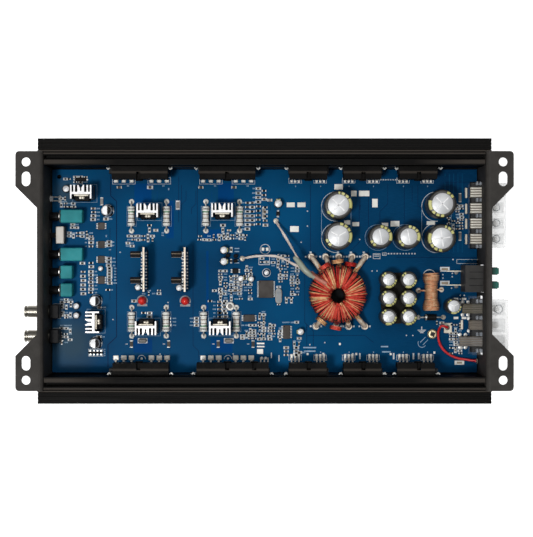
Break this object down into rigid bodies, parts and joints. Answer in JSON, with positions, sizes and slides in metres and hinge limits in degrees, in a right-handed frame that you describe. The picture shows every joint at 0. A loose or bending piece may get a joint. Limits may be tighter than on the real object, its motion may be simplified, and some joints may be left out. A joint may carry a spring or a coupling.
{
  "type": "car amplifier",
  "caption": "Flat car audio amplifier, bottom cover off: finned aluminium housing, populated circuit board, control shafts, phono jacks, plug-in fuses, screw terminals and slotted feet.",
  "frame": {"origin": "under the middle of the body, at the level of the fin tips that the amplifier lies on", "axes": "+X runs along the body towards the power and speaker terminals, -X towards the phono jacks and controls; +Y is across the body towards the wall with the reservoir capacitors; +Z points from the heatsink fins up to the mounting feet, which face +Z because the amplifier lies upside down"},
  "size_m": [0.335, 0.179, 0.056],
  "materials": {
    "anodised_black": "black anodised, satin, fine extrusion lines",
    "painted_black": "black powder coat, fine texture",
    "clamp_black": "blackened steel, satin",
    "epoxy_black": "moulded epoxy with tinned leads",
    "board_blue": "blue solder mask over copper tracks",
    "sleeve_black": "shrink sleeve with pale yellow stripe, bare aluminium top",
    "winding_red": "red enamelled wire, glossy",
    "winding_copper": "clear enamelled copper wire",
    "bare_aluminium": "bright extruded comb",
    "pot_teal": "teal moulding with plated front plate",
    "shaft_black": "moulded",
    "switch_white": "off-white moulding",
    "nickel": "nickel plated barrel on a black base",
    "holder_grey": "dark grey moulding",
    "fuse_green": "translucent green",
    "clear_plastic": "clear moulding with plated contacts inside",
    "screw_steel": "plated",
    "lead_red": "insulated lead",
    "lead_white": "twisted pair with a translucent sleeve"
  },
  "bodies": {
    "amplifier": {"heatsink_housing": "anodised_black", "control_end_plate": "painted_black", "power_end_plate": "painted_black", "circuit_board": "board_blue", "rear_transistor_row": "epoxy_black", "front_transistor_row": "epoxy_black", "rear_clamp_bar_1": "clamp_black", "rear_clamp_bar_2": "clamp_black", "rear_clamp_bar_3": "clamp_black", "rear_clamp_bar_4": "clamp_black", "rear_clamp_bar_5": "clamp_black", "front_clamp_bar_1": "clamp_black", "front_clamp_bar_2": "clamp_black", "front_clamp_bar_3": "clamp_black", "front_clamp_bar_4": "clamp_black", "front_clamp_bar_5": "clamp_black", "reservoir_capacitor_1": "sleeve_black", "reservoir_capacitor_2": "sleeve_black", "reservoir_capacitor_3": "sleeve_black", "reservoir_capacitor_4": "sleeve_black", "rail_capacitor_1": "sleeve_black", "rail_capacitor_2": "sleeve_black", "input_capacitor_bank": "sleeve_black", "supply_capacitor": "sleeve_black", "toroid_transformer": "winding_red", "rod_choke": "winding_copper", "driver_heatsink_1": "bare_aluminium", "driver_heatsink_2": "bare_aluminium", "driver_heatsink_3": "bare_aluminium", "driver_heatsink_4": "bare_aluminium", "regulator_heatsink_1": "bare_aluminium", "regulator_heatsink_2": "bare_aluminium", "driver_board_1": "board_blue", "driver_board_2": "board_blue", "crossover_pot": "pot_teal", "gain_pot": "pot_teal", "bass_boost_pot": "pot_teal", "level_trim_pot": "pot_teal", "crossover_switch": "switch_white", "rca_jack_1": "nickel", "rca_jack_2": "nickel", "fuse_holder": "holder_grey", "speaker_terminal_block": "clear_plastic", "power_terminal_block": "clear_plastic", "red_link_lead": "lead_red", "sensor_leads": "lead_white"},
    "crossover_shaft": {"crossover_pot_shaft": "shaft_black"},
    "gain_shaft": {"gain_pot_shaft": "shaft_black"},
    "bass_boost_shaft": {"bass_boost_pot_shaft": "shaft_black"},
    "level_trim_shaft": {"level_trim_pot_shaft": "shaft_black"},
    "slider": {"crossover_switch_slider": "shaft_black"},
    "fuse_1": {"blade_fuse_1": "fuse_green"},
    "fuse_2": {"blade_fuse_2": "fuse_green"},
    "speaker_screw_1": {"speaker_terminal_screw_1": "screw_steel"},
    "speaker_screw_2": {"speaker_terminal_screw_2": "screw_steel"},
    "speaker_screw_3": {"speaker_terminal_screw_3": "screw_steel"},
    "speaker_screw_4": {"speaker_terminal_screw_4": "screw_steel"},
    "power_screw_1": {"power_terminal_screw_1": "screw_steel"},
    "power_screw_2": {"power_terminal_screw_2": "screw_steel"},
    "power_screw_3": {"power_terminal_screw_3": "screw_steel"}
  },
  "joints": [
    {"name": "crossover_turn", "type": "hinge", "parent": "amplifier", "child": "crossover_shaft", "pos_m": [-0.147, 0.0378, 0.0265], "axis": [-1, 0, 0], "range_deg": [-140, 140]},
    {"name": "gain_turn", "type": "hinge", "parent": "amplifier", "child": "gain_shaft", "pos_m": [-0.147, 0.0115, 0.0265], "axis": [-1, 0, 0], "range_deg": [-140, 140]},
    {"name": "bass_boost_turn", "type": "hinge", "parent": "amplifier", "child": "bass_boost_shaft", "pos_m": [-0.147, -0.0008, 0.0265], "axis": [-1, 0, 0], "range_deg": [-140, 140]},
    {"name": "level_trim_turn", "type": "hinge", "parent": "amplifier", "child": "level_trim_shaft", "pos_m": [-0.147, -0.0132, 0.0265], "axis": [-1, 0, 0], "range_deg": [-140, 140]},
    {"name": "crossover_switch_slide", "type": "slide", "parent": "amplifier", "child": "slider", "axis": [0, 1, 0], "range_m": [-0.0024, 0.0024]},
    {"name": "fuse_1_pull", "type": "slide", "parent": "amplifier", "child": "fuse_1", "axis": [1, 0, 0], "range_m": [0, 0.02]},
    {"name": "fuse_2_pull", "type": "slide", "parent": "amplifier", "child": "fuse_2", "axis": [1, 0, 0], "range_m": [0, 0.02]},
    {"name": "speaker_screw_1_turn", "type": "hinge", "parent": "amplifier", "child": "speaker_screw_1", "pos_m": [0.159, 0.0221, 0.0236], "axis": [0, 0, -1], "range_deg": [0, 1080]},
    {"name": "speaker_screw_2_turn", "type": "hinge", "parent": "amplifier", "child": "speaker_screw_2", "pos_m": [0.159, 0.0329, 0.0236], "axis": [0, 0, -1], "range_deg": [0, 1080]},
    {"name": "speaker_screw_3_turn", "type": "hinge", "parent": "amplifier", "child": "speaker_screw_3", "pos_m": [0.159, 0.0437, 0.0236], "axis": [0, 0, -1], "range_deg": [0, 1080]},
    {"name": "speaker_screw_4_turn", "type": "hinge", "parent": "amplifier", "child": "speaker_screw_4", "pos_m": [0.159, 0.0545, 0.0236], "axis": [0, 0, -1], "range_deg": [0, 1080]},
    {"name": "power_screw_1_turn", "type": "hinge", "parent": "amplifier", "child": "power_screw_1", "pos_m": [0.16, -0.0261, 0.0236], "axis": [0, 0, -1], "range_deg": [0, 1080]},
    {"name": "power_screw_2_turn", "type": "hinge", "parent": "amplifier", "child": "power_screw_2", "pos_m": [0.16, -0.0375, 0.0236], "axis": [0, 0, -1], "range_deg": [0, 1080]},
    {"name": "power_screw_3_turn", "type": "hinge", "parent": "amplifier", "child": "power_screw_3", "pos_m": [0.16, -0.0489, 0.0236], "axis": [0, 0, -1], "range_deg": [0, 1080]}
  ]
}
